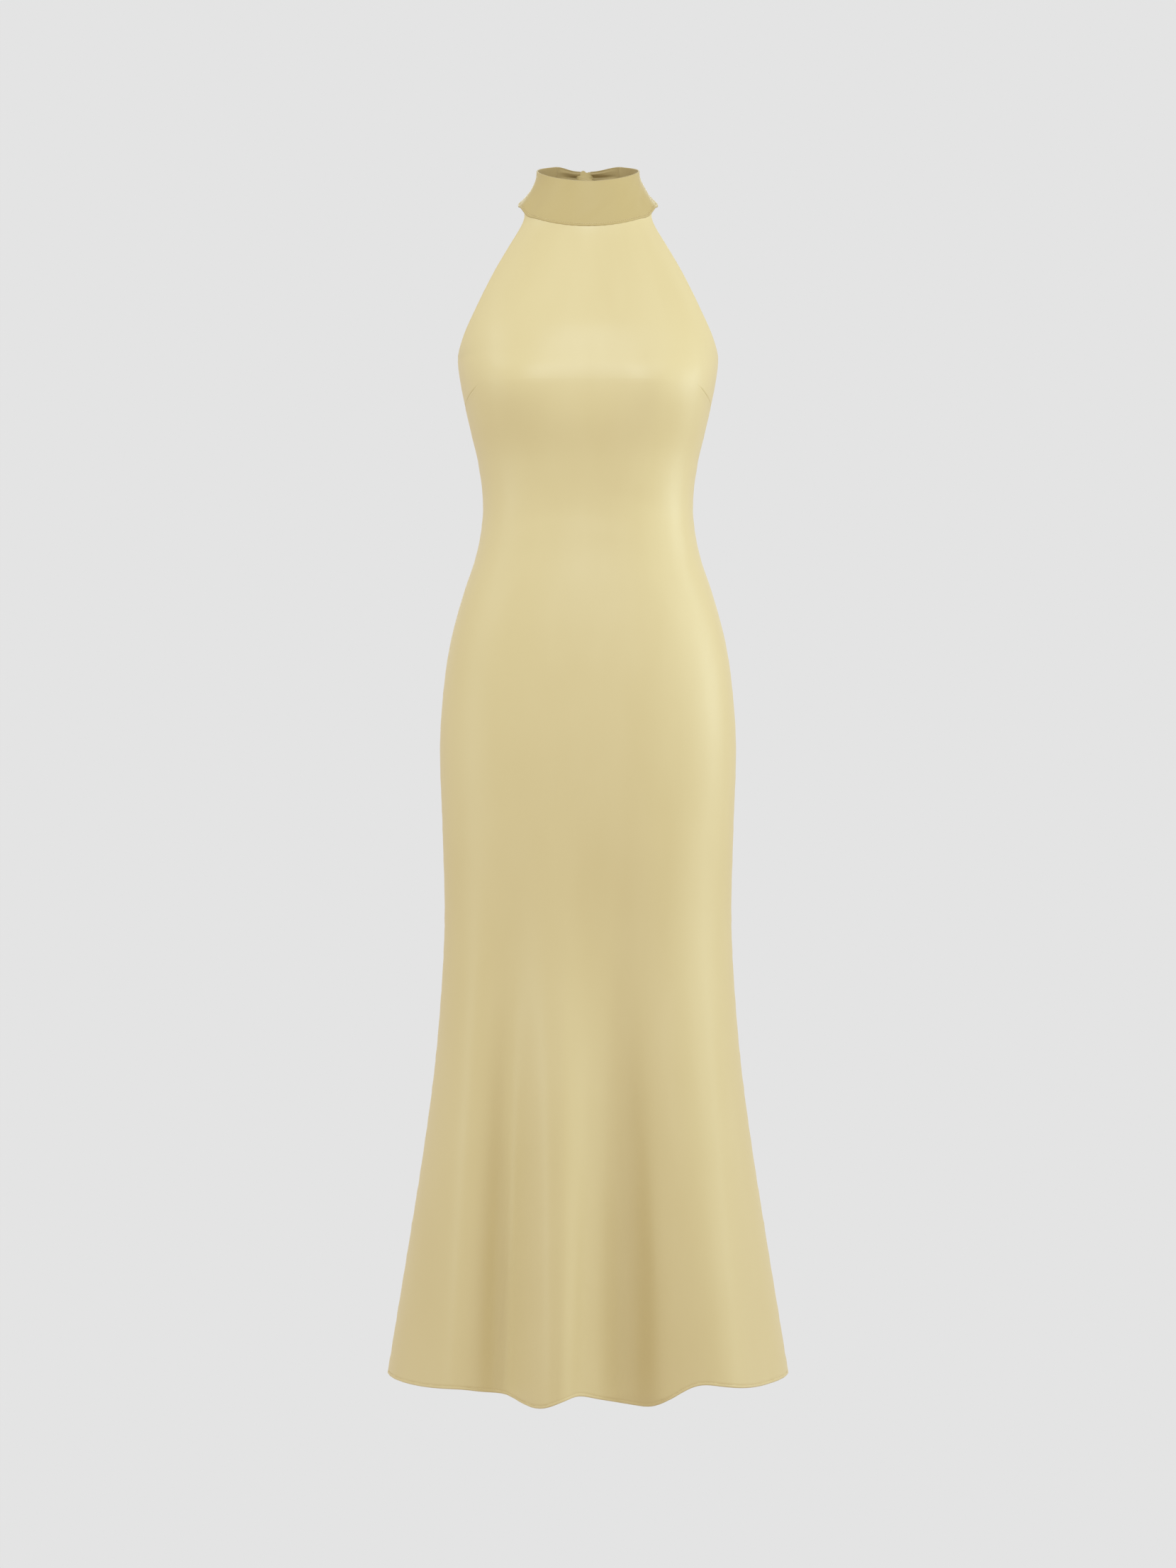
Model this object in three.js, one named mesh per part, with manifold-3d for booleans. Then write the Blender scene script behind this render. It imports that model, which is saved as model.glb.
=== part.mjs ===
// A floor-length halter dress in satin, in the hollow form that it has when worn: a front cut in one from the
// neck seam to the hem, two back halves below an open back, and a stand neckband that ties behind the neck.
// The cloth is a thin wall with every opening left open.
// Millimetres, +Z up, the front faces -Y, and the wearer's left is +X. The origin is the middle of the neckband's
// hollow, where a neck carries the dress.
import * as THREE from "three";
import { mergeVertices } from "three/addons/utils/BufferGeometryUtils.js";
import Module from "manifold-3d";

// Driving sizes
const CLOTH_WALL = 1.5;
const HEM_WALL = 2.4; // the hem is turned up once, so the cloth is doubled there
const HEM_TURN = 6;
const BAND_WALL = 2; // two layers of cloth and an interfacing
const TIE_WALL = 1.6;
const SEAM_GAP = 0.3; // pieces that are sewn together lie this far apart
const HEM_Z = -1308;
const UNDERARM_Z = -188;
const BACK_DIP_Z = -330; // the lowest point of the open back, at the top of the centre-back seam
const BACK_EDGE_CURVE = 2.2; // how steeply the back's upper edge leaves the underarm

// Level sections of the body, downwards: half the width, the depth to the front and to the back, and how square
// the front and back halves are, where 2 is an ellipse.
const SECTIONS = [
  { z: -30, half: 78.7, front: 63, back: 70, frontSquare: 2.0, backSquare: 2.1 },
  { z: -46, half: 90.4, front: 66.5, back: 76, frontSquare: 2.0, backSquare: 2.1 },
  { z: -67, half: 105, front: 73, back: 82, frontSquare: 2.05, backSquare: 2.1 },
  { z: -91, half: 119.5, front: 82, back: 87, frontSquare: 2.1, backSquare: 2.1 },
  { z: -114, half: 130.3, front: 91, back: 90, frontSquare: 2.2, backSquare: 2.1 },
  { z: -138, half: 137.8, front: 100.5, back: 92, frontSquare: 2.35, backSquare: 2.1 },
  { z: -162, half: 143, front: 109, back: 92, frontSquare: 2.5, backSquare: 2.1 },
  { z: -188, half: 144.3, front: 114, back: 91, frontSquare: 2.7, backSquare: 2.1 },
  { z: -215, half: 140.6, front: 118.5, back: 89, frontSquare: 2.8, backSquare: 2.1 },
  { z: -256, half: 132, front: 115, back: 83, frontSquare: 2.6, backSquare: 2.1 },
  { z: -304, half: 121, front: 102, back: 75, frontSquare: 2.35, backSquare: 2.15 },
  { z: -351, half: 116.6, front: 95, back: 71, frontSquare: 2.25, backSquare: 2.2 },
  { z: -398, half: 123.2, front: 96.5, back: 80, frontSquare: 2.25, backSquare: 2.2 },
  { z: -445, half: 138.4, front: 101.5, back: 97, frontSquare: 2.25, backSquare: 2.2 },
  { z: -493, half: 151.5, front: 106.5, back: 112, frontSquare: 2.25, backSquare: 2.25 },
  { z: -540, half: 159.2, front: 110, back: 120.5, frontSquare: 2.25, backSquare: 2.25 },
  { z: -611, half: 164.3, front: 112, back: 122, frontSquare: 2.2, backSquare: 2.25 },
  { z: -705, half: 161.5, front: 109, back: 113, frontSquare: 2.2, backSquare: 2.2 },
  { z: -800, half: 159.2, front: 105.5, back: 106.5, frontSquare: 2.15, backSquare: 2.15 },
  { z: -871, half: 162, front: 108, back: 109.5, frontSquare: 2.1, backSquare: 2.1 },
  { z: -965, half: 169.8, front: 118, back: 121.5, frontSquare: 2.05, backSquare: 2.05 },
  { z: -1060, half: 182.4, front: 131, back: 138, frontSquare: 2.0, backSquare: 2.0 },
  { z: -1155, half: 197.4, front: 144.5, back: 155.5, frontSquare: 1.95, backSquare: 1.95 },
  { z: -1250, half: 213, front: 157.5, back: 173, frontSquare: 1.88, backSquare: 1.88 },
  { z: -1308, half: 222.5, front: 165, back: 183.5, frontSquare: 1.85, backSquare: 1.85 },
];

// The front's armhole edge, as the angle that it stands forward of the side seam at each height
const ARMHOLE = [
  { z: -30, angle: 21.7 },
  { z: -46, angle: 22.3 },
  { z: -67, angle: 23.3 },
  { z: -91, angle: 23.2 },
  { z: -114, angle: 23.1 },
  { z: -138, angle: 21.8 },
  { z: -162, angle: 18 },
  { z: -178, angle: 12 },
  { z: -188, angle: 0 },
];

// The flutes that fall from the thighs to the hem: where each runs across the front or back at its top and at the
// hem, how wide it is there to its left and to its right, and how far it stands out, or in where it is negative
const FLUTES = [
  { on: "front", topX: -122, hemX: -150, left: 26, right: 22, out: 10 },
  { on: "front", topX: -78, hemX: -91, left: 21, right: 25, out: -23 },
  { on: "front", topX: -32, hemX: -36, left: 30, right: 21, out: 28 },
  { on: "front", topX: 34, hemX: 39, left: 28, right: 27, out: -30 },
  { on: "front", topX: 108, hemX: 158, left: 58, right: 28, out: 26 },
  { on: "back", topX: -118, hemX: -156, left: 24, right: 24, out: 9 },
  { on: "back", topX: -80, hemX: -103, left: 30, right: 30, out: -17 },
  { on: "back", topX: -38, hemX: -44, left: 27, right: 27, out: 18 },
  { on: "back", topX: 6, hemX: 9, left: 22, right: 22, out: -13 },
  { on: "back", topX: 48, hemX: 63, left: 27, right: 27, out: 17 },
  { on: "back", topX: 88, hemX: 119, left: 28, right: 28, out: -19 },
  { on: "back", topX: 124, hemX: 164, left: 22, right: 22, out: 8 },
];
const FLUTES_START_Z = -690;
const FLUTE_ONSET = 1.4; // above 1, a flute begins more gently
const SEAM_REST = 0.4; // no flute disturbs the side seams: it reaches its full depth at this sine of the angle

// The hem's waves: where each is, how wide, and how far the hem rises there, or sinks where it is negative
const HEM_WAVES = [
  { on: "front", x: -140, width: 34, rise: 5.4 },
  { on: "front", x: -60, width: 26, rise: -6.9 },
  { on: "front", x: -14, width: 24, rise: 6.2 },
  { on: "front", x: 54, width: 34, rise: -11.9 },
  { on: "front", x: 122, width: 30, rise: 13.2 },
  { on: "front", x: 160, width: 24, rise: 5 },
  { on: "back", x: -103, width: 30, rise: 3.4 },
  { on: "back", x: -44, width: 27, rise: -3.6 },
  { on: "back", x: 9, width: 22, rise: 2.6 },
  { on: "back", x: 63, width: 27, rise: -3.4 },
  { on: "back", x: 119, width: 28, rise: 3.8 },
];
const HEM_WAVES_HEIGHT = 160; // the rows above the hem follow it over this height

// The fullness that the bust darts give, on each side
const BUST = { x: 80, z: -224, reachX: 38, reachZ: 38, out: 7 };

// The neckband leans forward with the neck and flares to its lower edge. Its edges' heights at the sides change
// by these amounts towards the front, and by the square of the way there or to the back.
const BAND_TOP = { half: 57.2, front: 55, back: 46 };
const BAND_FLARE = { half: 20.4, front: 11.5, back: 12 };
const BAND_FLARE_CURVE = { half: 1.85, front: 1.4, back: 1.6 };
const BAND_TOP_EDGE = { side: 26, forward: -18, frontBow: -3.6, backBow: -3.6 };
const BAND_LOW_EDGE = { side: -12, forward: -38, frontBow: 4, backBow: -31 };
const BAND_SEAM_ANGLE = 45.3; // the band ends and the ties begin this far behind the sides

// The knot behind the neck, with the wraps of cloth across it
const KNOT = { x: -3, y: 56, z: 20.5, halfX: 12.5, halfY: 9.5, halfZ: 17 };
const WRAP = { depth: 0.07, turns: 7, slant: 0.5 };
const KNOT_CLEARANCE = 0.45;

// The ties that run into the knot: they leave the band straight, and reach into the knot from below its middle
// to above it, with pleats that deepen on the way
const TIE = { leave: 10, arrive: 12, reachIn: 6, setBack: 3, below: 11, above: 15 };
const TIE_PLEATS = { count: 4, depth: 2.2, fullAt: 0.8 };

// The tails that hang from the knot, gathered at the top and spread below
const TAIL = { length: 300, slant: 16, gathered: 7, width: 42, apart: 4.4, spreadApart: 27, spreadBy: 0.55 };
const TAIL_FOLDS = { gather: 2.6, folds: 3, ripple: 3, sway: 2.5, swayTurns: 5, behind: 4, behindAtEnd: 8 };

// How finely the walls are divided
const SKIRT_ROWS = 25; // from the hem to the underarm, shared by front and back at the side seams
const SKIRT_CROWDING = 0.85; // below 1, the rows are closer together towards the underarm
const BODICE_ROWS = 9;
const BODICE_CROWDING = 1.2; // above 1, the rows are closer together at the foot of the armhole
const SEAM_BLEND = 12; // the higher, the later the front's top rows draw in to the neckband
const FRONT_COLUMNS = 34;
const BACK_COLUMNS = 16;
const BAND_GRID = { rows: 6, columns: 40 };
const TIE_GRID = { rows: 16, columns: 8 };
const TAIL_GRID = { rows: 16, columns: 7 };
const KNOT_GRID = { around: 22, down: 13 };
const TURN_STEP = 0.01; // the step in angle, or in share of a height, over which a face's slope is measured

const radians = THREE.MathUtils.degToRad;
const { clamp, lerp, smoothstep } = THREE.MathUtils;

// A smooth curve through the rows of a table that runs downwards: one column's value at height z
function valueAt(table, column, z) {
  const last = table.length - 1;
  let i = 1;
  while (i < last && z < table[i].z) i++;
  const slope = (row) => {
    const above = table[Math.max(row - 1, 0)];
    const below = table[Math.min(row + 1, last)];
    return (above[column] - below[column]) / (above.z - below.z);
  };
  const from = table[i - 1];
  const to = table[i];
  const span = to.z - from.z;
  const t = clamp((z - from.z) / span, 0, 1);
  const ease = t * t * (3 - 2 * t);
  return (
    lerp(from[column], to[column], ease) +
    span * t * (1 - t) * ((1 - t) * slope(i - 1) - t * slope(i))
  );
}

// How far a section's edge lies from its middle, in one direction
function ringRadius(angle, half, depth, square) {
  const across = Math.abs(Math.cos(angle)) / half;
  const along = Math.abs(Math.sin(angle)) / depth;
  return (across ** square + along ** square) ** (-1 / square);
}

// Angles turn from the wearer's right side seam, at 0, by the front, at a quarter turn
const sideOf = (angle) => (Math.sin(angle) >= 0 ? "front" : "back");

// How far the flutes and the bust stand out at one place on the front or back
function fullness(side, x, z) {
  const down = clamp((FLUTES_START_Z - z) / (FLUTES_START_Z - HEM_Z), 0, 1);
  const growth = Math.sin((down * Math.PI) / 2) ** FLUTE_ONSET;
  let out = 0;
  for (const flute of FLUTES) {
    if (flute.on !== side) continue;
    const off = x - lerp(flute.topX, flute.hemX, down);
    const share = off / (off < 0 ? flute.left : flute.right);
    out += growth * flute.out * Math.exp(-share * share);
  }
  if (side === "front") {
    const offX = (Math.abs(x) - BUST.x) / BUST.reachX;
    const offZ = (z - BUST.z) / BUST.reachZ;
    out += BUST.out * Math.exp(-offX * offX - offZ * offZ);
  }
  return out;
}

// The body's outer face
function bodyPoint(angle, z) {
  const side = sideOf(angle);
  const half = valueAt(SECTIONS, "half", z);
  const depth = valueAt(SECTIONS, side, z);
  const square = valueAt(SECTIONS, side + "Square", z);
  const radius = ringRadius(angle, half, depth, square);
  const x = -radius * Math.cos(angle);
  const y = -radius * Math.sin(angle);
  const clearOfSeam = smoothstep(Math.abs(Math.sin(angle)), 0, SEAM_REST);
  const outward = side === "front" ? -1 : 1;
  return new THREE.Vector3(x, y + outward * clearOfSeam * fullness(side, x, z), z);
}

// The height of one of the neckband's edges
function bandEdgeZ(edge, angle) {
  const forward = Math.sin(angle);
  return edge.side + edge.forward * forward + edge[sideOf(angle) + "Bow"] * forward * forward;
}

// The neckband's outer face, from its lower edge, at height 0, to its upper edge, at height 1
function bandPoint(angle, height) {
  const below = Math.max(1 - height, 0);
  const size = (name) => BAND_TOP[name] + BAND_FLARE[name] * below ** BAND_FLARE_CURVE[name];
  const radius = ringRadius(angle, size("half"), size(sideOf(angle)), 2);
  return new THREE.Vector3(
    -radius * Math.cos(angle),
    -radius * Math.sin(angle),
    lerp(bandEdgeZ(BAND_LOW_EDGE, angle), bandEdgeZ(BAND_TOP_EDGE, angle), height),
  );
}

// The outward direction of a face that is given by a function of an angle and a height
function outwardOf(face, angle, height, heightStep) {
  const along = face(angle + TURN_STEP, height).sub(face(angle - TURN_STEP, height));
  const up = face(angle, height + heightStep).sub(face(angle, height - heightStep));
  return along.cross(up).normalize();
}

// A grid of points from a function of a row's and a column's number
const gridOf = (rows, columns, make) =>
  Array.from({ length: rows + 1 }, (_, row) =>
    Array.from({ length: columns + 1 }, (_, column) => make(row, column)),
  );

const columnOf = (grid, index) => grid.map((row) => row.at(index));

// Moves the points of one edge of a grid towards the row or column beside it
function inset(edge, beside, distance) {
  edge.forEach((point, i) => {
    point.add(beside[i].clone().sub(point).setLength(distance));
  });
}

// Leaves half a seam's gap at a grid's first and last column
function parkSides(grid) {
  inset(columnOf(grid, 0), columnOf(grid, 1), SEAM_GAP / 2);
  inset(columnOf(grid, -1), columnOf(grid, -2), SEAM_GAP / 2);
}

// A closed wall between two grids of points. Columns run anticlockwise seen from above, and rows upwards.
function wall(outer, inner) {
  const rows = outer.length;
  const columns = outer[0].length;
  const points = [...outer.flat(), ...inner.flat()];
  const index = (layer, row, column) => (layer * rows + row) * columns + column;
  const faces = [];
  const quad = (a, b, c, d) => faces.push(a, b, c, a, c, d);
  const skin = (layer, row, column) => [
    index(layer, row, column),
    index(layer, row, column + 1),
    index(layer, row + 1, column + 1),
    index(layer, row + 1, column),
  ];
  for (let row = 0; row < rows - 1; row++) {
    for (let column = 0; column < columns - 1; column++) {
      quad(...skin(0, row, column));
      quad(...skin(1, row, column).reverse());
    }
  }
  const rim = (a, b) => quad(a, a + rows * columns, b + rows * columns, b);
  for (let column = 0; column < columns - 1; column++) {
    rim(index(0, 0, column), index(0, 0, column + 1));
    rim(index(0, rows - 1, column + 1), index(0, rows - 1, column));
  }
  for (let row = 0; row < rows - 1; row++) {
    rim(index(0, row + 1, 0), index(0, row, 0));
    rim(index(0, row, columns - 1), index(0, row + 1, columns - 1));
  }
  const geometry = new THREE.BufferGeometry().setFromPoints(points);
  geometry.setIndex(faces);
  return geometry;
}

// How far a place near the hem sinks with the hem's waves
function hemSink(angle, level) {
  const share = 1 - smoothstep(level, HEM_Z, HEM_Z + HEM_WAVES_HEIGHT);
  const x = bodyPoint(angle, HEM_Z).x;
  let rise = 0;
  for (const wave of HEM_WAVES) {
    if (wave.on !== sideOf(angle)) continue;
    const off = (x - wave.x) / wave.width;
    rise += wave.rise * Math.exp(-off * off);
  }
  return -share * rise;
}

// The level of a row between the hem and a panel's top, with two rows for the turned hem
function skirtLevel(row, top) {
  if (row === 0) return HEM_Z;
  if (row === 1) return HEM_Z + HEM_TURN;
  const share = (row - 2) / (SKIRT_ROWS - 2);
  return lerp(HEM_Z + HEM_TURN + CLOTH_WALL, top, share ** SKIRT_CROWDING);
}

// The outer and inner faces of a panel of the body, from a grid of angles and heights
function bodyFaces(places) {
  const outer = places.map((row) => row.map(({ angle, z }) => bodyPoint(angle, z)));
  const inner = places.map((row, r) =>
    row.map(({ angle, z }, c) => {
      const thickness = r < 2 ? HEM_WALL : CLOTH_WALL;
      return outer[r][c].clone().addScaledVector(outwardOf(bodyPoint, angle, z, 1), -thickness);
    }),
  );
  return { outer, inner };
}

function frontPanel() {
  const corner = radians(ARMHOLE[0].angle);
  const cornerZ = bandEdgeZ(BAND_LOW_EDGE, corner);
  const places = gridOf(SKIRT_ROWS + BODICE_ROWS, FRONT_COLUMNS, (row, column) => {
    const across = column / FRONT_COLUMNS;
    if (row <= SKIRT_ROWS) {
      const angle = Math.PI * across;
      const level = skirtLevel(row, UNDERARM_Z);
      return { angle, z: level - hemSink(angle, level), up: 0 };
    }
    const up = ((row - SKIRT_ROWS) / BODICE_ROWS) ** BODICE_CROWDING;
    const level = lerp(UNDERARM_Z, cornerZ, up);
    const edge = radians(valueAt(ARMHOLE, "angle", level));
    const angle = lerp(edge, Math.PI - edge, across);
    return { angle, z: level + up * up * (bandEdgeZ(BAND_LOW_EDGE, angle) - cornerZ), up };
  });
  const { outer, inner } = bodyFaces(places);
  // The top rows draw in to the neckband's lower edge, and their wall turns to lie in line with the band's
  places.forEach((row, r) =>
    row.forEach(({ angle, up }, c) => {
      const share = up ** SEAM_BLEND;
      const seam = bandPoint(angle, 0).setZ(outer[r][c].z);
      outer[r][c].lerp(seam, share);
      const bandOut = outwardOf(bandPoint, angle, 0, TURN_STEP);
      inner[r][c].lerp(outer[r][c].clone().addScaledVector(bandOut, -CLOTH_WALL), share);
    }),
  );
  for (const grid of [outer, inner]) {
    parkSides(grid);
    inset(grid.at(-1), grid.at(-2), SEAM_GAP);
  }
  return wall(outer, inner);
}

// One half of the back, whose upper edge falls from the underarm to the centre back
function backPanel(from, to) {
  const centre = 1.5 * Math.PI;
  const places = gridOf(SKIRT_ROWS, BACK_COLUMNS, (row, column) => {
    const angle = lerp(from, to, column / BACK_COLUMNS);
    const fromCentre = Math.abs(angle - centre) / Math.abs(to - from);
    const level = skirtLevel(row, lerp(BACK_DIP_Z, UNDERARM_Z, fromCentre ** BACK_EDGE_CURVE));
    return { angle, z: level - hemSink(angle, level) };
  });
  const { outer, inner } = bodyFaces(places);
  parkSides(outer);
  parkSides(inner);
  return wall(outer, inner);
}

function neckband() {
  const { rows, columns } = BAND_GRID;
  const start = radians(-BAND_SEAM_ANGLE);
  const angleOf = (column) => lerp(start, Math.PI - start, column / columns);
  const outer = gridOf(rows, columns, (row, column) => bandPoint(angleOf(column), row / rows));
  const inner = gridOf(rows, columns, (row, column) => {
    const out = outwardOf(bandPoint, angleOf(column), row / rows, TURN_STEP);
    return outer[row][column].clone().addScaledVector(out, -BAND_WALL);
  });
  return wall(outer, inner);
}

// The knot: a soft lump with the wraps of the tied cloth across it, which may be grown to trim its neighbours
function knotShape(grow = 0) {
  const ball = new THREE.SphereGeometry(1, KNOT_GRID.around, KNOT_GRID.down);
  const places = ball.attributes.position;
  for (let i = 0; i < places.count; i++) {
    const way = new THREE.Vector3().fromBufferAttribute(places, i);
    const swell = Math.cos(WRAP.turns * (way.z + WRAP.slant * way.x)) * (1 - way.z * way.z);
    const wrap = 1 + WRAP.depth * swell;
    places.setXYZ(
      i,
      KNOT.x + way.x * (KNOT.halfX * wrap + grow),
      KNOT.y + way.y * (KNOT.halfY * wrap + grow),
      KNOT.z + way.z * (KNOT.halfZ + grow),
    );
  }
  return ball;
}

// One tie, from its seam with the band to inside the knot; side is -1 on the wearer's right and 1 on the left
function tieShape(side) {
  const { rows, columns } = TIE_GRID;
  const seam = side < 0 ? radians(-BAND_SEAM_ANGLE) : Math.PI + radians(BAND_SEAM_ANGLE);
  const middleLine = (height) => {
    const start = bandPoint(seam, height);
    const leaving = start.clone().sub(bandPoint(seam - side * TURN_STEP, height)).setLength(TIE.leave);
    const end = new THREE.Vector3(
      KNOT.x + side * TIE.reachIn,
      KNOT.y - TIE.setBack,
      KNOT.z + lerp(-TIE.below, TIE.above, height),
    );
    const arriving = new THREE.Vector3(side * TIE.arrive, 0, 0);
    return new THREE.CubicBezierCurve3(start, start.clone().add(leaving), end.clone().add(arriving), end);
  };
  const layer = (depth) =>
    gridOf(rows, columns, (row, column) => {
      const height = row / rows;
      const along = side > 0 ? column / columns : 1 - column / columns;
      const point = middleLine(height).getPoint(along);
      const out = new THREE.Vector3(point.x * (1 - along), point.y, 0).normalize();
      const wave = Math.cos(2 * Math.PI * TIE_PLEATS.count * height);
      const pleat = TIE_PLEATS.depth * smoothstep(along, 0, TIE_PLEATS.fullAt) * wave;
      return point.addScaledVector(out, pleat - depth);
    });
  const outer = layer(0);
  const inner = layer(TIE_WALL);
  const seamColumn = side > 0 ? 0 : -1;
  const besideSeam = side > 0 ? 1 : -2;
  for (const grid of [outer, inner]) {
    inset(columnOf(grid, seamColumn), columnOf(grid, besideSeam), SEAM_GAP);
  }
  return wall(outer, inner);
}

// One tail, which hangs from inside the knot and ends on a slant
function tailShape(side) {
  const { rows, columns } = TAIL_GRID;
  const layer = (depth) =>
    gridOf(rows, columns, (row, column) => {
      const down = 1 - row / rows;
      const across = column / columns - 0.5;
      const spread = smoothstep(down, 0, TAIL.spreadBy);
      const width = lerp(TAIL.gathered, TAIL.width, spread);
      const apart = lerp(TAIL.apart, TAIL.spreadApart, Math.sin((down * Math.PI) / 2));
      const middle = KNOT.x * (1 - spread) + side * apart;
      const gather = TAIL_FOLDS.gather * (1 - spread) * Math.cos(2 * Math.PI * TAIL_FOLDS.folds * across);
      const ripple = TAIL_FOLDS.ripple * spread * Math.sin(2 * Math.PI * across + side);
      const sway = TAIL_FOLDS.sway * down * Math.sin(TAIL_FOLDS.swayTurns * down + side);
      const behind = lerp(TAIL_FOLDS.behind, TAIL_FOLDS.behindAtEnd, spread);
      return new THREE.Vector3(
        middle - across * width,
        KNOT.y + behind + gather + ripple + sway - depth,
        KNOT.z - down * (TAIL.length + TAIL.slant * side * across),
      );
    });
  return wall(layer(0), layer(TIE_WALL));
}

const wasm = await Module();
wasm.setup();

function toSolid(geometry) {
  const bare = geometry.clone();
  bare.deleteAttribute("normal");
  bare.deleteAttribute("uv");
  const merged = mergeVertices(bare, 1e-3);
  return new wasm.Manifold(
    new wasm.Mesh({
      numProp: 3,
      vertProperties: merged.attributes.position.array,
      triVerts: new Uint32Array(merged.index.array),
    }),
  );
}

function toGeometry(solid) {
  const mesh = solid.getMesh();
  return new THREE.BufferGeometry()
    .setAttribute("position", new THREE.BufferAttribute(mesh.vertProperties, mesh.numProp))
    .setIndex(new THREE.BufferAttribute(mesh.triVerts, 1));
}

// The ties and tails end just short of the knot's face
const trimmer = toSolid(knotShape(KNOT_CLEARANCE));
const endedAtKnot = (geometry) => toGeometry(toSolid(geometry).subtract(trimmer));

// Colours and finishes
const satin = new THREE.MeshStandardMaterial({ color: "#d6c895", roughness: 0.42, metalness: 0.1 });
const bandSatin = new THREE.MeshStandardMaterial({ color: "#cdb981", roughness: 0.42, metalness: 0.1 });

const dress = new THREE.Group();
function addPiece(name, geometry, material) {
  const piece = new THREE.Mesh(geometry, material);
  piece.name = name;
  dress.add(piece);
}

addPiece("front_panel", frontPanel(), satin);
addPiece("back_left", backPanel(Math.PI, 1.5 * Math.PI), satin);
addPiece("back_right", backPanel(1.5 * Math.PI, 2 * Math.PI), satin);
addPiece("neckband", neckband(), bandSatin);
addPiece("tie_left", endedAtKnot(tieShape(1)), bandSatin);
addPiece("tie_right", endedAtKnot(tieShape(-1)), bandSatin);
addPiece("tie_knot", knotShape(), bandSatin);
addPiece("tail_left", endedAtKnot(tailShape(1)), bandSatin);
addPiece("tail_right", endedAtKnot(tailShape(-1)), bandSatin);

export default dress;
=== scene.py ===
import math

import bpy
import numpy as np
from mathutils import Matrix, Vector


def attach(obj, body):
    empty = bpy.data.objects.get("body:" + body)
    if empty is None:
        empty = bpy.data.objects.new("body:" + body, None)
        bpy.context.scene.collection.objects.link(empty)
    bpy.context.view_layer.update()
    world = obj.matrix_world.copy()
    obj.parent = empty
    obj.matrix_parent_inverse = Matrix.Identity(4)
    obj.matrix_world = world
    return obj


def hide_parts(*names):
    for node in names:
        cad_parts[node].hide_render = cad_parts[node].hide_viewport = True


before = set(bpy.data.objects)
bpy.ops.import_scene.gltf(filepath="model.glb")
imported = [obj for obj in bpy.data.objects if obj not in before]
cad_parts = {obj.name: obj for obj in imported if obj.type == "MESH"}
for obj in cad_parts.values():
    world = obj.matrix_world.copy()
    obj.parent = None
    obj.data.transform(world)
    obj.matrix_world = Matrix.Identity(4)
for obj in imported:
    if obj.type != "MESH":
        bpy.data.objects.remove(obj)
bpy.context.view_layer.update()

MM = 0.001
QUARTER = math.pi / 2

# The camera looks level at the middle of the dress, where the picture spans VIEW_HEIGHT upwards, in metres
CAMERA_DISTANCE = 3.5
CAMERA_HEIGHT = -0.6552
VIEW_HEIGHT = 1.743
SENSOR = 36  # the longer side of the camera's own picture, in millimetres


def make_camera():
    data = bpy.data.cameras.new("camera")
    data.sensor_width = SENSOR
    data.lens = SENSOR * CAMERA_DISTANCE / VIEW_HEIGHT
    camera = bpy.data.objects.new("camera", data)
    camera.location = (0, -CAMERA_DISTANCE, CAMERA_HEIGHT)
    camera.rotation_euler = (QUARTER, 0, 0)
    bpy.context.scene.collection.objects.link(camera)
    bpy.context.scene.camera = camera


make_camera()


def table(names, *rows):
    """A table with named columns, as arrays."""
    return {name: np.array(column, float) for name, column in zip(names, zip(*rows))}


def rows_of(columns):
    """A table's rows again, as tuples."""
    return zip(*columns.values())


# The sizes that the solids are made from, so that the cloth lies on their faces
HEM_Z = -1308
HEM_TURN = 6  # how high the hem's turning is
UNDERARM_Z = -188
BACK_DIP_Z = -330  # the lowest point of the open back
BACK_EDGE_CURVE = 2.2  # how roundly the open back's edge rises to the underarms

# Level rings round the body: their heights, half their widths, their depths to the front and to the back,
# and how square they are there, where 2 is an ellipse
SECTIONS = table(
    ("z", "half", "front", "back", "front_square", "back_square"),
    (-30, 78.7, 63, 70, 2.0, 2.1),
    (-46, 90.4, 66.5, 76, 2.0, 2.1),
    (-67, 105, 73, 82, 2.05, 2.1),
    (-91, 119.5, 82, 87, 2.1, 2.1),
    (-114, 130.3, 91, 90, 2.2, 2.1),
    (-138, 137.8, 100.5, 92, 2.35, 2.1),
    (-162, 143, 109, 92, 2.5, 2.1),
    (-188, 144.3, 114, 91, 2.7, 2.1),
    (-215, 140.6, 118.5, 89, 2.8, 2.1),
    (-256, 132, 115, 83, 2.6, 2.1),
    (-304, 121, 102, 75, 2.35, 2.15),
    (-351, 116.6, 95, 71, 2.25, 2.2),
    (-398, 123.2, 96.5, 80, 2.25, 2.2),
    (-445, 138.4, 101.5, 97, 2.25, 2.2),
    (-493, 151.5, 106.5, 112, 2.25, 2.25),
    (-540, 159.2, 110, 120.5, 2.25, 2.25),
    (-611, 164.3, 112, 122, 2.2, 2.25),
    (-705, 161.5, 109, 113, 2.2, 2.2),
    (-800, 159.2, 105.5, 106.5, 2.15, 2.15),
    (-871, 162, 108, 109.5, 2.1, 2.1),
    (-965, 169.8, 118, 121.5, 2.05, 2.05),
    (-1060, 182.4, 131, 138, 2.0, 2.0),
    (-1155, 197.4, 144.5, 155.5, 1.95, 1.95),
    (-1250, 213, 157.5, 173, 1.88, 1.88),
    (-1308, 222.5, 165, 183.5, 1.85, 1.85),
)

# How far the armhole's edge lies from the side seam at each height, in degrees
ARMHOLE = table(
    ("z", "angle"),
    (-30, 21.7),
    (-46, 22.3),
    (-67, 23.3),
    (-91, 23.2),
    (-114, 23.1),
    (-138, 21.8),
    (-162, 18),
    (-178, 12),
    (-188, 0),
)

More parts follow.
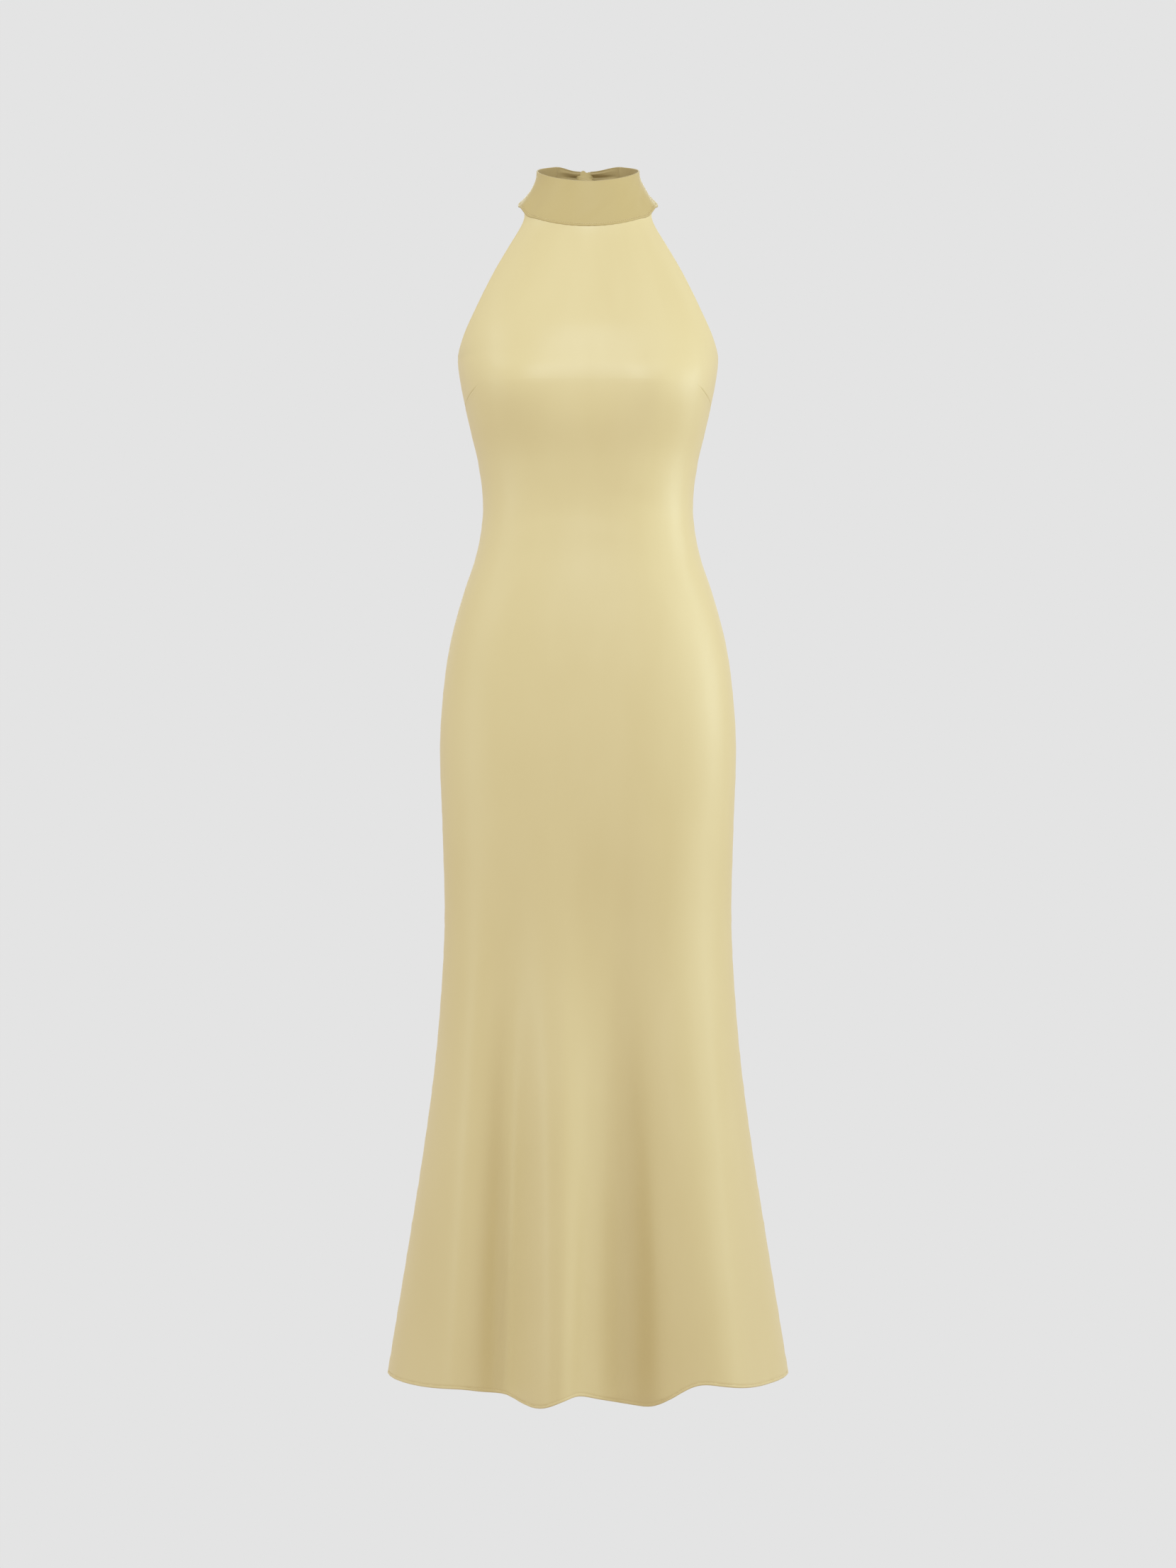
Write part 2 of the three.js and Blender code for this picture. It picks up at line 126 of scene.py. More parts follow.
# The skirt's flutes: where the middle of each lies at its top and at the hem, how wide it is to the left
# and to the right, and how far it stands out at the hem, or in where that is negative
FLUTE_COLUMNS = ("top_x", "hem_x", "left", "right", "out")
FLUTES = {
    "front": table(
        FLUTE_COLUMNS,
        (-122, -150, 26, 22, 10),
        (-78, -91, 21, 25, -23),
        (-32, -36, 30, 21, 28),
        (34, 39, 28, 27, -30),
        (108, 158, 58, 28, 26),
    ),
    "back": table(
        FLUTE_COLUMNS,
        (-118, -156, 24, 24, 9),
        (-80, -103, 30, 30, -17),
        (-38, -44, 27, 27, 18),
        (6, 9, 22, 22, -13),
        (48, 63, 27, 27, 17),
        (88, 119, 28, 28, -19),
        (124, 164, 22, 22, 8),
    ),
}
FLUTES_START_Z = -690
FLUTE_ONSET = 1.4  # how slowly the flutes begin
SEAM_REST = 0.4  # flutes and creases fade out beside a side seam, where the angle's sine is below this

# The hem's waves: where each lies, how wide it is, and how far the hem rises there, or sinks if negative
WAVE_COLUMNS = ("x", "width", "rise")
HEM_WAVES = {
    "front": table(
        WAVE_COLUMNS,
        (-140, 34, 5.4),
        (-60, 26, -6.9),
        (-14, 24, 6.2),
        (54, 34, -11.9),
        (122, 30, 13.2),
        (160, 24, 5),
    ),
    "back": table(
        WAVE_COLUMNS,
        (-103, 30, 3.4),
        (-44, 27, -3.6),
        (9, 22, 2.6),
        (63, 27, -3.4),
        (119, 28, 3.8),
    ),
}
HEM_WAVES_HEIGHT = 160  # how far up the waves reach

# The bust: where its two sides lie, how far they reach and how far they stand out
BUST = {"x": 80, "z": -224, "reach_x": 38, "reach_z": 38, "out": 7}

# The neckband: half its width and its depths along the upper edge, how much more they are along the lower
# edge, and how late they grow on the way down
BAND_TOP = {"half": 57.2, "front": 55, "back": 46}
BAND_FLARE = {"half": 20.4, "front": 11.5, "back": 12}
BAND_FLARE_CURVE = {"half": 1.85, "front": 1.4, "back": 1.6}
# Its edges: their heights at the sides, how they rise or fall towards the front, and how they bow
BAND_TOP_EDGE = {"side": 26, "forward": -18, "front": -3.6, "back": -3.6}
BAND_LOW_EDGE = {"side": -12, "forward": -38, "front": 4, "back": -31}
# The lower edge leaves its side corners straight: the angle of each lift, its reach and its height
BAND_LOW_EDGE["corners"] = ((0.24, 0.13, 3.3), (0.5, 0.1, -1.2))
BAND_SEAM_ANGLE = math.radians(45.3)  # how far behind the side the band's seams with the ties lie
SEAM_BLEND = 12  # how late the front's top draws in to the neckband

# The knot at the nape, and how a tie leaves the neckband, arrives at the knot and is pleated on the way
KNOT = {"x": -3, "y": 56, "z": 20.5, "half_x": 12.5, "half_y": 9.5, "half_z": 17}
TIE = {"leave": 10, "arrive": 12, "reach_in": 6, "set_back": 3, "below": 11, "above": 15}
TIE_PLEATS = {"count": 4, "depth": 2.2, "full_at": 0.8}

# The tails: how long and wide they are, how far apart they hang, their folds, and how far back they lie
TAIL = {"length": 300, "slant": 16, "gathered": 7, "width": 42}
TAIL_PLACE = {"apart": 4.4, "spread_apart": 27, "spread_by": 0.55}
TAIL_FOLDS = {"gather": 2.6, "folds": 3, "ripple": 3, "sway": 2.5, "sway_turns": 5}
TAIL_BEHIND = {"top": 4, "end": 8}

# The cloth as it is sewn
SATIN = 0.6  # the shell's thickness, a little more than real satin so that its edges can be seen
TURNED = 1.7  # the thickness where the hem is turned under
EDGE_TURNED = TURNED - 0.4  # the thickness where an armhole's or the back's edge is turned under
ALLOWANCE = {"wide": 12, "thick": 1.15}  # a seam's allowance, pressed open inside
TURN_STEP = 0.6  # how wide the step is at a turning's raw edge
HEM_TURN_STEP = 0.5
BAND_THICKNESS = 1.6
TIE_THICKNESS = 1.0
EDGE_TURN = 8  # how wide an armhole's or the back edge's turning is
EDGE_ROLL = {"deep": 0.5, "wide": 1.0}  # how the cloth rolls in at a seam or a turned edge
RIM_ROUNDNESS = 0.42  # how far a rim stands out, as a share of the cloth's thickness
SLOPE_STEP = 0.01  # the small step for finding which way a face looks

# How the grids are spaced
ROW_STEP = {"skirt": 7.2, "bodice": 5.2}
COLUMN_STEP = {"front": 4.3, "back": 4.6, "band": 2.6}
BODY_RADIUS = 150  # the body's mean radius
BAND_RADIUS = 62
BAND_ARC = 4.72  # the angle that the neckband spans
WEAVE_RING = {"half": 210, "depth": 170}  # the ring that places along the body's cloth are counted on
FINE_CLEARANCE = 0.35  # how near to a fine row an even row may lie, as a share of a step


def smoothstep(value, low, high):
    share = np.clip((value - low) / (high - low), 0, 1)
    return share * share * (3 - 2 * share)


def lerp(start, end, share):
    return start + (end - start) * share


def bell(value):
    return np.exp(-value * value)


def value_at(rows, column, z):
    """A smooth curve through the rows of a table that runs downwards: one column's value at height z."""
    heights = rows["z"]
    values = rows[column]
    last = len(heights) - 1
    above = np.maximum(np.arange(last + 1) - 1, 0)
    below = np.minimum(np.arange(last + 1) + 1, last)
    slopes = (values[above] - values[below]) / (heights[above] - heights[below])
    i = np.clip(np.searchsorted(-heights, -np.asarray(z, float)), 1, last)
    span = heights[i] - heights[i - 1]
    t = np.clip((z - heights[i - 1]) / span, 0, 1)
    ease = t * t * (3 - 2 * t)
    bend = span * t * (1 - t) * ((1 - t) * slopes[i - 1] - t * slopes[i])
    return lerp(values[i - 1], values[i], ease) + bend


def ring_radius(angle, half, depth, square):
    across = np.abs(np.cos(angle)) / half
    along = np.abs(np.sin(angle)) / depth
    return (across**square + along**square) ** (-1 / square)


def from_side(angle):
    """How far an angle on the front is from the nearer side seam."""
    return np.minimum(angle, math.pi - angle)


def by_side(angle, front, back):
    return np.where(np.sin(angle) >= 0, front, back)


def fullness(side, x, z):
    """How far the flutes and the bust stand out at places on the front or back."""
    down = np.clip((FLUTES_START_Z - z) / (FLUTES_START_Z - HEM_Z), 0, 1)
    growth = np.sin(down * QUARTER) ** FLUTE_ONSET
    out = np.zeros(np.shape(x))
    for top_x, hem_x, left, right, reach in rows_of(FLUTES[side]):
        off = x - lerp(top_x, hem_x, down)
        out += growth * reach * bell(off / np.where(off < 0, left, right))
    if side == "front":
        across = bell((np.abs(x) - BUST["x"]) / BUST["reach_x"])
        out += BUST["out"] * across * bell((z - BUST["z"]) / BUST["reach_z"])
    return out


def body_point(angle, z):
    """The body's outer face."""
    half = value_at(SECTIONS, "half", z)
    depth = by_side(angle, value_at(SECTIONS, "front", z), value_at(SECTIONS, "back", z))
    square = by_side(
        angle, value_at(SECTIONS, "front_square", z), value_at(SECTIONS, "back_square", z)
    )
    radius = ring_radius(angle, half, depth, square)
    x = -radius * np.cos(angle)
    y = -radius * np.sin(angle)
    clear_of_seam = smoothstep(np.abs(np.sin(angle)), 0, SEAM_REST)
    out = by_side(angle, fullness("front", x, z), fullness("back", x, z))
    return np.stack([x, y - by_side(angle, 1, -1) * clear_of_seam * out, z + 0 * x], -1)


def band_edge_z(edge, angle):
    forward = np.sin(angle)
    bow = by_side(angle, edge["front"], edge["back"]) * forward**2
    corner = 0
    for at, reach, lift in edge.get("corners", ()):
        corner = corner + lift * bell((from_side(angle) - at) / reach)
    return edge["side"] + edge["forward"] * forward + bow + corner


def band_point(angle, height):
    """The neckband's outer face, from its lower edge, at height 0, to its upper edge, at height 1."""
    below = np.maximum(1 - height, 0)

    def size(name):
        return BAND_TOP[name] + BAND_FLARE[name] * below ** BAND_FLARE_CURVE[name]

    radius = ring_radius(angle, size("half"), by_side(angle, size("front"), size("back")), 2)
    z = lerp(band_edge_z(BAND_LOW_EDGE, angle), band_edge_z(BAND_TOP_EDGE, angle), height)
    return np.stack([-radius * np.cos(angle), -radius * np.sin(angle), z + 0 * radius], -1)


def unit(vectors):
    return vectors / np.maximum(np.linalg.norm(vectors, axis=-1, keepdims=True), 1e-9)


def outward_of(face, angle, height, height_step):
    """The outward direction of a face that is given by a function of an angle and a height."""
    along = face(angle + SLOPE_STEP, height) - face(angle - SLOPE_STEP, height)
    up = face(angle, height + height_step) - face(angle, height - height_step)
    return unit(np.cross(along, up))


def spaced(start, end, step, fine=()):
    """Numbers from start to end about a step apart, with extra ones at fine places."""
    count = max(int(round(abs(end - start) / step)), 1)
    even = np.linspace(start, end, count + 1)
    fine = np.array(sorted(fine), float)
    fine = fine[(fine >= min(start, end)) & (fine <= max(start, end))]
    clear = [v for v in even if not len(fine) or np.min(np.abs(fine - v)) > FINE_CLEARANCE * step]
    ends = [v for v in (start, end) if v not in fine]
    every = np.unique(np.round(np.concatenate([clear, fine, ends]), 6))
    return every if end > start else every[::-1]


def around(place, offsets):
    """A place with the same small distances on both sides of it."""
    return [place] + [place + sign * offset for offset in offsets for sign in (-1, 1)]


def run_along(places):
    """How far each place of a grid lies from the first one in its row."""
    steps = np.linalg.norm(np.diff(places, axis=1), axis=-1)
    return np.concatenate([0 * steps[:, :1], np.cumsum(steps, 1)], 1)


def to_nearer_end(run):
    return np.minimum(run, run[:, -1:] - run)


def set_weave(mesh, vectors):
    """Gives each point its place along the cloth and up it, in metres, and its face: 0 is the right side of
    the cloth, 1 is the reverse and a half is the rim."""
    weave = mesh.attributes.new("weave", "FLOAT_VECTOR", "POINT")
    weave.data.foreach_set("vector", vectors.astype(np.float32).ravel())


def smooth_object(name, mesh):
    mesh.polygons.foreach_set("use_smooth", [True] * len(mesh.polygons))
    made = bpy.data.objects.new(name, mesh)
    bpy.context.scene.collection.objects.link(made)
    return made


class Shell:
    """A closed shell of cloth between an outer and an inner grid, with a rounded rim. Columns run
    anticlockwise seen from above, and rows upwards."""

    def __init__(self, name, outer, inner, weave):
        rows, columns = outer.shape[:2]
        number = np.arange(rows * columns).reshape(rows, columns)
        loop = self.rim_of(number)
        inward = self.rim_of(self.neighbours(number))
        flat_outer = outer.reshape(-1, 3)
        flat_inner = inner.reshape(-1, 3)
        thick = np.linalg.norm(flat_outer[loop] - flat_inner[loop], axis=1, keepdims=True)
        middle = (flat_outer[loop] + flat_inner[loop]) / 2
        beyond = unit(flat_outer[loop] - flat_outer[inward])
        rim = middle + beyond * thick * RIM_ROUNDNESS
        self.points = np.concatenate([flat_outer, flat_inner, rim])
        weave = np.broadcast_to(weave, outer.shape[:2] + (2,)).reshape(-1, 2)
        self.weave = np.concatenate([weave, weave, weave[loop]])
        face = np.zeros(len(self.points))
        face[len(flat_outer) : 2 * len(flat_outer)] = 1
        face[2 * len(flat_outer) :] = 0.5
        self.inside = face
        quads = np.stack(
            [number[:-1, :-1], number[:-1, 1:], number[1:, 1:], number[1:, :-1]], -1
        ).reshape(-1, 4)
        other = quads[:, ::-1] + rows * columns
        here = np.arange(len(loop))
        following = np.roll(here, -1)
        first = 2 * rows * columns
        outer_rim = np.stack([loop[following], loop, first + here, first + following], -1)
        inner_rim = np.stack(
            [first + following, first + here, loop + rows * columns, loop[following] + rows * columns], -1
        )
        self.faces = np.concatenate([quads, other, outer_rim, inner_rim])
        self.name = name

    @staticmethod
    def rim_of(grid):
        """The numbers along a grid's rim, anticlockwise from its first corner."""
        return np.concatenate([grid[0, :-1], grid[:-1, -1], grid[-1, :0:-1], grid[:0:-1, 0]])

    @staticmethod
    def neighbours(grid):
        """For each place, the place one step further in from the rim."""
        rows, columns = grid.shape
        row = np.clip(np.arange(rows), 1, rows - 2)
        column = np.clip(np.arange(columns), 1, columns - 2)
        return grid[np.ix_(row, column)]

    def make(self):
        mesh = bpy.data.meshes.new(self.name)
        mesh.from_pydata((self.points * MM).tolist(), [], self.faces.tolist())
        mesh.validate()
        set_weave(mesh, np.hstack([self.weave * MM, self.inside[:, None]]))
        return smooth_object(self.name, mesh)


# Soft hollows and ridges of the worn cloth, the last three of the front deeper, along its flutes: where
# each lies, how long and wide it is, how it leans, in degrees from upright, and how far it stands out, or
# in where that is negative
CREASE_COLUMNS = ("x", "z", "long", "wide", "lean", "out")
CREASES = {
    "front": table(
        CREASE_COLUMNS,
        (92, -268, 34, 17, -24, -1.0),
        (-88, -262, 30, 18, 20, -0.6),
        (124, -172, 34, 12, 12, -0.9),
        (-120, -186, 30, 13, -14, -0.8),
        (66, -352, 52, 9, 74, -0.45),
        (-58, -366, 44, 8, -77, -0.4),
        (20, -383, 40, 7, 84, 0.3),
        (-96, -442, 48, 11, -38, -0.5),
        (104, -455, 56, 12, 34, -0.55),
        (-72, -700, 110, 14, 4, -0.7),
        (84, -720, 120, 15, -5, -0.7),
        (14, -742, 130, 12, 1, 0.6),
        (-24, -690, 90, 11, 3, -0.5),
        (-94, -1200, 200, 16, -2.9, -4.6),
        (-19, -1190, 220, 12, -1.7, 4.0),
        (52, -1190, 220, 19, 0.9, -6.0),
    ),
    "back": table(
        CREASE_COLUMNS,
        (-54, -372, 40, 8, -72, -0.55),
        (60, -364, 46, 9, 70, -0.5),
        (-38, -398, 34, 7, -80, 0.35),
        (-82, -446, 52, 11, -42, -0.6),
        (78, -438, 46, 10, 46, -0.55),
        (-64, -690, 100, 13, 6, -0.8),
        (58, -705, 120, 14, -4, -0.7),
        (-12, -735, 110, 12, 2, 0.5),
        (-126, -1000, 90, 11, -5, 0.6),
        (24, -1140, 100, 10, 3, 0.7),
        (104, -1090, 90, 10, 6, -0.7),
    ),
}


def creasing(side, x, z):
    out = np.zeros(np.shape(x))
    for at_x, at_z, long, wide, lean, reach in rows_of(CREASES[side]):
        turn = math.radians(lean)
        across = (x - at_x) * math.cos(turn) + (z - at_z) * math.sin(turn)
        along = (z - at_z) * math.cos(turn) - (x - at_x) * math.sin(turn)
        out += reach * bell(across / wide) * bell(along / long)
    return out


# A dart on each side runs from its seam up towards the bust, and steepens on the way. The front's rows
# follow it, and lie level again a little below and above it.
DART = {"z": -222, "dip": 17, "steepens": 2.2, "ends": math.radians(34), "below": 88, "above": 24}
DART_TIP = (0.86, 1.02)  # where the dart fades out, as shares of its length
DART_STEPS = (0.25, 0.5, 0.85, 1.3, 1.9, 2.8)
DART_GROOVE = {"deep": 0.75, "wide": 0.55, "ridge": 0.22, "ridge_at": -1.6, "ridge_wide": 1.1}


def follow_dart(angle, level):
    """Lowers the rows beside the dart so that one row lies along it."""
    dip = DART["dip"] * (1 - np.clip(from_side(angle) / DART["ends"], 0, 1) ** DART["steepens"])
    above = np.clip((level - DART["z"]) / DART["above"], 0, 1)
    below = smoothstep(DART["z"] - level, 0, DART["below"])
    return level - dip * (1 - above) * (1 - below)


def dart_form(angle, level):
    """The dart's stitched line is a groove that fades towards its tip, with the folded cloth beside it."""
    reach = 1 - smoothstep(from_side(angle), *(DART["ends"] * share for share in DART_TIP))
    off = level - DART["z"]
    groove = -DART_GROOVE["deep"] * bell(off / DART_GROOVE["wide"])
    ridge = DART_GROOVE["ridge"] * bell((off - DART_GROOVE["ridge_at"]) / DART_GROOVE["ridge_wide"])
    return reach * (groove + ridge)


def wander(place, waves):
    """An uneven wave: the sum of waves given as (length, height, start)."""
    return sum(height * np.sin(2 * math.pi * place / length + start) for length, height, start in waves)


HEM_STITCH = 2.6  # how far the hem's stitches lie above its edge
HEM_PUCKER = {"reach": 9, "waves": ((11, 0.16, 0.9), (7.3, 0.12, 3.1), (17, 0.14, 5.0))}
STITCH_GROOVE = {"deep": 0.28, "wide": 0.7}
TUCK = 0.5  # how far the front's top edge lies in under the neckband
BACK_HEIGHT = 1000  # the back's mean height, along which its rows are counted
BACK_KEPT = 20  # how far from its upper and lower edges the rows keep their true distance
SEAM_PUCKER = {"reach": 7, "waves": ((31, 0.2, 1.1), (19, 0.16, 2.7), (12.5, 0.1, 4.6))}


def hem_rise(side, x):
    return sum(rise * bell((x - at) / width) for at, width, rise in rows_of(HEM_WAVES[side]))


def hem_sink(angle, level):
    """How far a place near the hem sinks with the hem's waves."""
    share = 1 - smoothstep(level, HEM_Z, HEM_Z + HEM_WAVES_HEIGHT)
    x = body_point(angle, HEM_Z + 0 * angle)[..., 0]
    return -share * by_side(angle, hem_rise("front", x), hem_rise("back", x))


def edge_roll(distance):
    return -EDGE_ROLL["deep"] * np.exp(-np.maximum(distance, 0) / EDGE_ROLL["wide"])


def doubled(thick, distance, wide, step):
    """The cloth's thickness, more within a distance of an edge where it is turned."""
    return SATIN + (thick - SATIN) * (1 - smoothstep(distance, wide - step, wide))


def weave_run(angle):
    return angle * ring_radius(angle, WEAVE_RING["half"], WEAVE_RING["depth"], 2)


def body_shell(angle, z, edges, extra=0):
    """A panel's outer face, its outward directions, its thickness and its weave, from grids of angles and
    heights. edges holds how far each place is from the nearest seam, the nearest turned edge and the hem, and
    extra is what else stands out."""
    outer = body_point(angle, z)
    out = outward_of(body_point, angle, z, 1)
    x = outer[..., 0]
    clear_of_seam = smoothstep(np.abs(np.sin(angle)), 0, SEAM_REST)
    form = clear_of_seam * by_side(angle, creasing("front", x, z), creasing("back", x, z))
    seam, turned, hem = edges
    form = form + edge_roll(seam) + edge_roll(turned)
    form = form - STITCH_GROOVE["deep"] * bell((hem - HEM_STITCH) / STITCH_GROOVE["wide"])
    run = weave_run(angle)
    form = form + bell(hem / HEM_PUCKER["reach"]) * wander(run, HEM_PUCKER["waves"])
    form = form + bell(seam / SEAM_PUCKER["reach"]) * wander(z, SEAM_PUCKER["waves"])
    outer = outer + out * (form + extra)[..., None]
    thick = doubled(ALLOWANCE["thick"], seam, ALLOWANCE["wide"], TURN_STEP)
    thick = np.maximum(thick, doubled(EDGE_TURNED, turned, EDGE_TURN, TURN_STEP))
    thick = np.maximum(thick, doubled(TURNED, hem, HEM_TURN, HEM_TURN_STEP))
    weave = np.stack([run, z + 0 * angle], -1)
    return outer, out, thick[..., None], weave


# Distances from an edge at which rows or columns lie
HEM_STEPS = (0, 0.5, 1.1, 1.7, 2.2, 2.6, 3.0, 3.5, 4.4, 5.5, 6.0, 7.5, 10)
EDGE_STEPS = (0, 0.45, 1.0, 1.8, 3.0, 5.0, 7.4, 8.0, 11.4, 12.0)
TOP_STEPS = (0, 0.5, 1.1, 2.0, 3.4)
FAR = 1e3  # the distance to an edge that a row doesn't have


def columns_between(first, last, step, radius):
    """Shares from 0 to 1 across a panel, with narrow columns beside both edges."""
    wide = abs(last - first) * radius
    steps = [s / wide for s in EDGE_STEPS]
    return spaced(0, 1, step / wide, steps + [1 - s for s in steps])


def front_panel():
    corner = math.radians(ARMHOLE["angle"][0])
    corner_z = float(band_edge_z(BAND_LOW_EDGE, corner))
    fine_rows = [HEM_Z + s for s in HEM_STEPS] + around(DART["z"], DART_STEPS)
    skirt = spaced(HEM_Z, UNDERARM_Z, ROW_STEP["skirt"], fine_rows)
    bodice = spaced(UNDERARM_Z, corner_z, ROW_STEP["bodice"], [corner_z - s for s in TOP_STEPS])[1:]
    level = np.concatenate([skirt, bodice])[:, None]
    across = columns_between(0, math.pi, COLUMN_STEP["front"], BODY_RADIUS)[None, :]
    up = np.clip((level - UNDERARM_Z) / (corner_z - UNDERARM_Z), 0, 1)
    edge = np.where(up > 0, np.radians(value_at(ARMHOLE, "angle", level)), 0)
    angle = lerp(edge, math.pi - edge, across)
    z = np.where(up > 0, level, follow_dart(angle, level)) - hem_sink(angle, level)
    z = z + up**2 * (band_edge_z(BAND_LOW_EDGE, angle) - corner_z)
    level = level + 0 * angle
    up = up + 0 * angle
    to_edge = to_nearer_end(run_along(body_point(angle, z)))
    seam = np.where(up > 0, FAR, to_edge)
    turned = np.where(up > 0, to_edge, FAR)
    dart = np.where(up > 0, 0, dart_form(angle, level))
    outer, out, thick, weave = body_shell(angle, z, (seam, turned, level - HEM_Z), dart)
    # The top rows draw in under the neckband's lower edge, where they are sewn on
    share = (up**SEAM_BLEND)[..., None]
    seam_line = band_point(angle, 0)
    seam_line[..., 2] = outer[..., 2]
    band_out = outward_of(band_point, angle, 0 * angle, SLOPE_STEP)
    outer = lerp(outer, seam_line - band_out * TUCK, share)
    out = unit(lerp(out, band_out, share))
    return Shell("front_panel_satin", outer, outer - out * thick, weave).make()


def back_panel(name, first, last):
    centre = 1.5 * math.pi
    across = columns_between(first, last, COLUMN_STEP["back"], BODY_RADIUS)[None, :]
    angle = lerp(first, last, across)
    from_centre = np.abs(angle - centre) / abs(last - first)
    top = lerp(BACK_DIP_Z, UNDERARM_Z, from_centre**BACK_EDGE_CURVE)
    # Rows keep their true distance near the hem and near the top edge, and spread between them
    fine_rows = HEM_STEPS + tuple(BACK_HEIGHT - s for s in EDGE_STEPS)
    rows = spaced(0, BACK_HEIGHT, ROW_STEP["skirt"], fine_rows)[:, None]
    spread = smoothstep(rows, BACK_KEPT, BACK_HEIGHT - BACK_KEPT)
    level = lerp(HEM_Z + rows, top - (BACK_HEIGHT - rows), spread)
    z = level - hem_sink(angle, level)
    angle = angle + 0 * z
    seam = to_nearer_end(run_along(body_point(angle, z)))
    outer, out, thick, weave = body_shell(angle, z, (seam, top - z, level - HEM_Z))
    return Shell(name + "_satin", outer, outer - out * thick, weave).make()


BAND_STITCH = 2.1  # how far the neckband's stitches lie above its lower edge
BAND_WAVES = ((61, 0.3, 0.7), (38, 0.22, 2.9), (23, 0.12, 4.4))
BAND_PUCKER = {"reach": 6, "waves": ((9, 0.1, 0.3), (6.1, 0.08, 2.2))}
BAND_ROLL = {"out": 0.35, "at": 0.8, "wide": 1.0}  # the double cloth's soft rise beside its lower edge
BAND_INSIDE = {"out": 0.3, "at": 0.5, "wide": 0.4, "long": 17}  # how the band's inner cloth waves
BAND_TALL = 46  # about the band's height, for the places of its fine rows
BAND_ROW_STEP = 0.05
BAND_LOW_STEPS = (0, 0.4, 0.9, 1.4, 1.75, 2.1, 2.45, 2.8, 3.4, 4.4)
BAND_TOP_STEPS = (0, 0.4, 0.9, 1.6, 2.6)


def neckband():
    across = columns_between(0, BAND_ARC, COLUMN_STEP["band"], BAND_RADIUS)[None, :]
    angle = lerp(-BAND_SEAM_ANGLE, math.pi + BAND_SEAM_ANGLE, across)
    fine_rows = [s / BAND_TALL for s in BAND_LOW_STEPS] + [1 - s / BAND_TALL for s in BAND_TOP_STEPS]
    height = spaced(0, 1, BAND_ROW_STEP, fine_rows)[:, None]
    angle, height = np.broadcast_arrays(angle, height)
    outer = band_point(angle, height)
    out = outward_of(band_point, angle, height, SLOPE_STEP)
    tall = np.linalg.norm(outer[-1] - outer[0], axis=-1)[None, :]
    from_low = height * tall
    run = run_along(outer)
    groove = STITCH_GROOVE["deep"] * bell((from_low - BAND_STITCH) / STITCH_GROOVE["wide"])
    form = edge_roll(to_nearer_end(run)) - groove
    form = form + BAND_ROLL["out"] * bell((from_low - BAND_ROLL["at"]) / BAND_ROLL["wide"])
    form = form + np.sin(math.pi * height) * wander(run, BAND_WAVES)
    form = form + bell(from_low / BAND_PUCKER["reach"]) * wander(run, BAND_PUCKER["waves"])
    outer = outer + out * form[..., None]
    inside = BAND_INSIDE["out"] * bell((height - BAND_INSIDE["at"]) / BAND_INSIDE["wide"])
    inner = outer - out * (BAND_THICKNESS + inside * np.sin(run / BAND_INSIDE["long"]))[..., None]
    weave = np.stack([run, from_low], -1)
    return Shell("neckband_satin", outer, inner, weave).make()


def bezier(start, leaving, arriving, end, share):
    rest = 1 - share
    return rest**3 * start + 3 * rest**2 * share * leaving + 3 * rest * share**2 * arriving + share**3 * end


TIE_FINE = ((2.3, 0.5, 0.6), (5.5, 0.55, 2.4), (9.2, 0.4, 4.1))  # finer gathers: turns, depth, start
TIE_FINE_GROWS = (0.05, 0.7)  # where along the tie they begin, and are full
TIE_DRIFT = {"by": 1.4, "turns": 2.2}  # how the finer gathers wander
# A tie's length, its height at the band and its mean height
TIE_CLOTH = {"long": 42, "tall": 46, "mean": 40}
TIE_GRID = {"rows": 64, "columns": 44, "fine": [0.012, 0.03, 0.06]}


def tie(name, side):
    """One tie, gathered from its seam with the band to the knot. side is -1 on the wearer's right and 1 on
    the left."""
    seam = -BAND_SEAM_ANGLE if side < 0 else math.pi + BAND_SEAM_ANGLE
    height = spaced(0, 1, 1 / TIE_GRID["rows"])[:, None, None]
    toward = spaced(0, 1, 1 / TIE_GRID["columns"], TIE_GRID["fine"])[None, :, None]
    along = toward if side > 0 else toward[:, ::-1]
    start = band_point(np.full(height.shape[:2], seam), height[..., 0])
    before = band_point(np.full(height.shape[:2], seam - side * SLOPE_STEP), height[..., 0])
    leaving = start + unit(start - before) * TIE["leave"]
    end = np.concatenate(
        [
            np.full_like(height, KNOT["x"] + side * TIE["reach_in"]),
            np.full_like(height, KNOT["y"] - TIE["set_back"]),
            KNOT["z"] + lerp(-TIE["below"], TIE["above"], height),
        ],
        -1,
    )
    arriving = end + np.array([side * TIE["arrive"], 0, 0])
    line = bezier(start, leaving, arriving, end, along)
    out = unit(np.concatenate([line[..., :1] * (1 - along), line[..., 1:2], 0 * line[..., :1]], -1))
    gathered = smoothstep(along, 0, TIE_PLEATS["full_at"])
    pleat = TIE_PLEATS["depth"] * gathered * np.cos(2 * math.pi * TIE_PLEATS["count"] * height)
    for turns, deep, begin in TIE_FINE:
        drift = TIE_DRIFT["by"] * np.sin(TIE_DRIFT["turns"] * along + begin * side)
        fold = np.sin(2 * math.pi * turns * height + begin + drift)
        pleat = pleat + deep * smoothstep(along, *TIE_FINE_GROWS) * fold
    seam_dip = edge_roll(along * TIE_CLOTH["long"])
    rim = np.minimum(height, 1 - height) * TIE_CLOTH["tall"]
    outer = line + out * (pleat + seam_dip + 0.5 * edge_roll(rim))
    inner = outer - out * TIE_THICKNESS
    weave = [along * TIE_CLOTH["long"] + 0 * height, height * TIE_CLOTH["mean"] + 0 * along]
    return Shell(name + "_satin", outer, inner, np.concatenate(weave, -1)).make()


